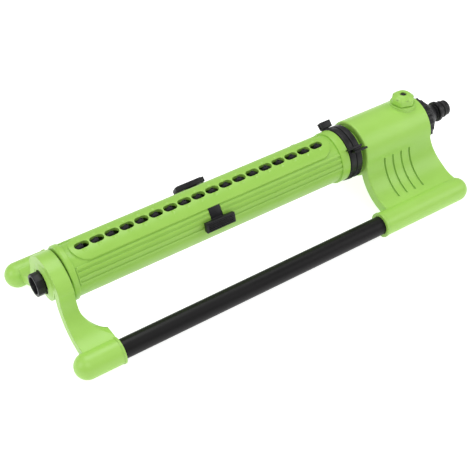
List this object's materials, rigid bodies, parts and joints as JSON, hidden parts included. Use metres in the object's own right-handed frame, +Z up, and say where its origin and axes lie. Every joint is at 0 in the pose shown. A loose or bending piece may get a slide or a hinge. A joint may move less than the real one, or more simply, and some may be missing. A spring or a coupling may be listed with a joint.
{
  "type": "oscillating lawn sprinkler",
  "caption": "Oscillating lawn sprinkler: a swinging spray tube with a row of jets between an end bracket and a turbine drive housing, on two base tubes.",
  "frame": {"origin": "on the ground, under the middle of the overall length and width", "axes": "+X along the spray tube towards the hose, +Y to the rear, +Z up"},
  "size_m": [0.464, 0.1584, 0.0954],
  "materials": {
    "green_casing": "satin, moulded lime green",
    "green_tube": "satin, moulded lime green",
    "green_knob": "satin, moulded lime green",
    "black_plastic": "satin black",
    "soft_nozzles": "soft matt black",
    "black_tube": "satin black paint",
    "steel": "plain steel",
    "dark_screw": "blackened steel",
    "seal_rubber": "soft black",
    "gear_plastic": "natural acetal",
    "inner_plastic": "dark grey",
    "water_pipe": "plain drawn tube",
    "filter_mesh": "fine mesh"
  },
  "bodies": {
    "frame": {"end_bracket": "green_casing", "bracket_bush": "inner_plastic", "motor_housing": "green_casing", "front_base_tube": "black_tube", "rear_base_tube": "black_tube", "tube_screws": "steel", "gear_case": "green_casing", "gear_case_lid": "inner_plastic", "case_screws": "steel", "main_axle": "steel", "lay_axle": "steel", "stator_plate": "inner_plastic", "valve_seat": "inner_plastic", "filter_screen": "filter_mesh", "inlet_seal": "seal_rubber", "hose_adapter": "black_plastic", "nose_o_ring": "seal_rubber", "reverse_spring": "steel"},
    "spray_tube": {"tube_cover": "green_tube", "left_end_cap": "green_tube", "right_end_cap": "green_tube", "water_tube": "water_pipe", "nozzle_strip": "soft_nozzles", "output_gear": "gear_plastic"},
    "left_ring": {"left_swing_ring": "black_plastic"},
    "right_ring": {"right_swing_ring": "black_plastic"},
    "front_lever": {"front_width_lever": "black_plastic", "left_shutter": "inner_plastic"},
    "rear_lever": {"rear_width_lever": "black_plastic", "right_shutter": "inner_plastic"},
    "plug": {"cleaning_plug": "black_plastic", "cleaning_needle": "steel", "plug_seal": "seal_rubber"},
    "knob": {"flow_knob": "green_knob", "flow_spindle": "inner_plastic", "knob_screw": "dark_screw", "spindle_seal": "seal_rubber"},
    "reverser": {"reverse_lever": "inner_plastic"},
    "turbine_rotor": {"turbine": "gear_plastic"},
    "gear_one": {"first_gear": "gear_plastic"},
    "gear_two": {"second_gear": "gear_plastic"},
    "gear_three": {"third_gear": "gear_plastic"}
  },
  "joints": [
    {"name": "spray_swing", "type": "hinge", "parent": "frame", "child": "spray_tube", "pos_m": [0, 0, 0.0558], "axis": [1, 0, 0], "range_deg": [-42, 42]},
    {"name": "left_ring_turn", "type": "hinge", "parent": "spray_tube", "child": "left_ring", "pos_m": [0.0919, 0, 0.0558], "axis": [1, 0, 0], "range_deg": [-35, 30]},
    {"name": "right_ring_turn", "type": "hinge", "parent": "spray_tube", "child": "right_ring", "pos_m": [0.0989, 0, 0.0558], "axis": [1, 0, 0], "range_deg": [-30, 35]},
    {"name": "front_lever_turn", "type": "hinge", "parent": "spray_tube", "child": "front_lever", "pos_m": [-0.0613, 0, 0.0558], "axis": [1, 0, 0], "range_deg": [-8, 17]},
    {"name": "rear_lever_turn", "type": "hinge", "parent": "spray_tube", "child": "rear_lever", "pos_m": [-0.0613, 0, 0.0558], "axis": [1, 0, 0], "range_deg": [-17, 8]},
    {"name": "plug_pull", "type": "slide", "parent": "spray_tube", "child": "plug", "axis": [-1, 0, 0], "range_m": [0, 0.03]},
    {"name": "knob_turn", "type": "hinge", "parent": "frame", "child": "knob", "pos_m": [0.1706, 0, 0.09], "axis": [0, 0, 1], "range_deg": [0, 90]},
    {"name": "reverse_swing", "type": "hinge", "parent": "frame", "child": "reverser", "pos_m": [0.107, 0, 0.0558], "axis": [1, 0, 0], "range_deg": [-8, 8]},
    {"name": "turbine_spin", "type": "hinge", "parent": "frame", "child": "turbine_rotor", "pos_m": [0.14, 0, 0.0558], "axis": [1, 0, 0], "continuous": true},
    {"name": "gear_one_spin", "type": "hinge", "parent": "frame", "child": "gear_one", "pos_m": [0.13, 0, 0.0436], "axis": [1, 0, 0], "continuous": true},
    {"name": "gear_two_spin", "type": "hinge", "parent": "frame", "child": "gear_two", "pos_m": [0.126, 0, 0.0558], "axis": [1, 0, 0], "continuous": true},
    {"name": "gear_three_spin", "type": "hinge", "parent": "frame", "child": "gear_three", "pos_m": [0.12, 0, 0.0436], "axis": [1, 0, 0], "continuous": true}
  ],
  "couplings": [
    {"joint": "gear_three_spin", "follows": "spray_swing", "ratio": -3},
    {"joint": "gear_two_spin", "follows": "spray_swing", "ratio": 9},
    {"joint": "gear_one_spin", "follows": "spray_swing", "ratio": -27},
    {"joint": "turbine_spin", "follows": "spray_swing", "ratio": 81}
  ]
}
